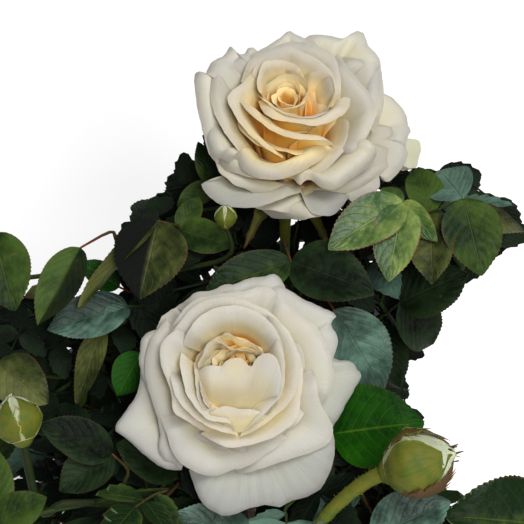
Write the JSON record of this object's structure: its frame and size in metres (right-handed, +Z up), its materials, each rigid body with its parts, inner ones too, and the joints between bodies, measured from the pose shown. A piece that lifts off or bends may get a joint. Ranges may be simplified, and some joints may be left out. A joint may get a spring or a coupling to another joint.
{
  "type": "potted bush rose",
  "caption": "Bush rose in a plain round clay pot, with open cream blooms, green buds, arching canes and dense compound leaves.",
  "frame": {"origin": "centre of the pot's flat underside, which stands on z = 0", "axes": "+Z up along the pot's axis; the plant's front, the side that the picture shows, faces -Y; +X is the plant's right as seen from the front"},
  "size_m": [0.2326, 0.2326, 0.3217],
  "materials": {
    "terracotta": "matte",
    "compost": "matte",
    "cane_bark": "matte",
    "leafage": "satin",
    "petals": "satin",
    "bud_green": "satin"
  },
  "bodies": {
    "root": {"pot": "terracotta", "soil": "compost", "main_stem": "cane_bark", "cane_right": "cane_bark", "cane_front_right": "cane_bark", "cane_front_left": "cane_bark", "cane_left": "cane_bark", "cane_back_left": "cane_bark", "cane_back_right": "cane_bark", "cane_heart": "cane_bark", "cane_upper_bloom": "cane_bark", "cane_lower_bloom": "cane_bark", "cane_back_bloom": "cane_bark", "cane_right_bud": "cane_bark", "right_bud": "bud_green", "upper_bloom": "petals", "lower_bloom": "petals", "back_bloom": "petals", "leaves_right": "leafage", "leaves_front_right": "leafage", "leaves_front_left": "leafage", "leaves_left": "leafage", "leaves_back_left": "leafage", "leaves_back_right": "leafage", "leaves_heart": "leafage"}
  },
  "joints": []
}
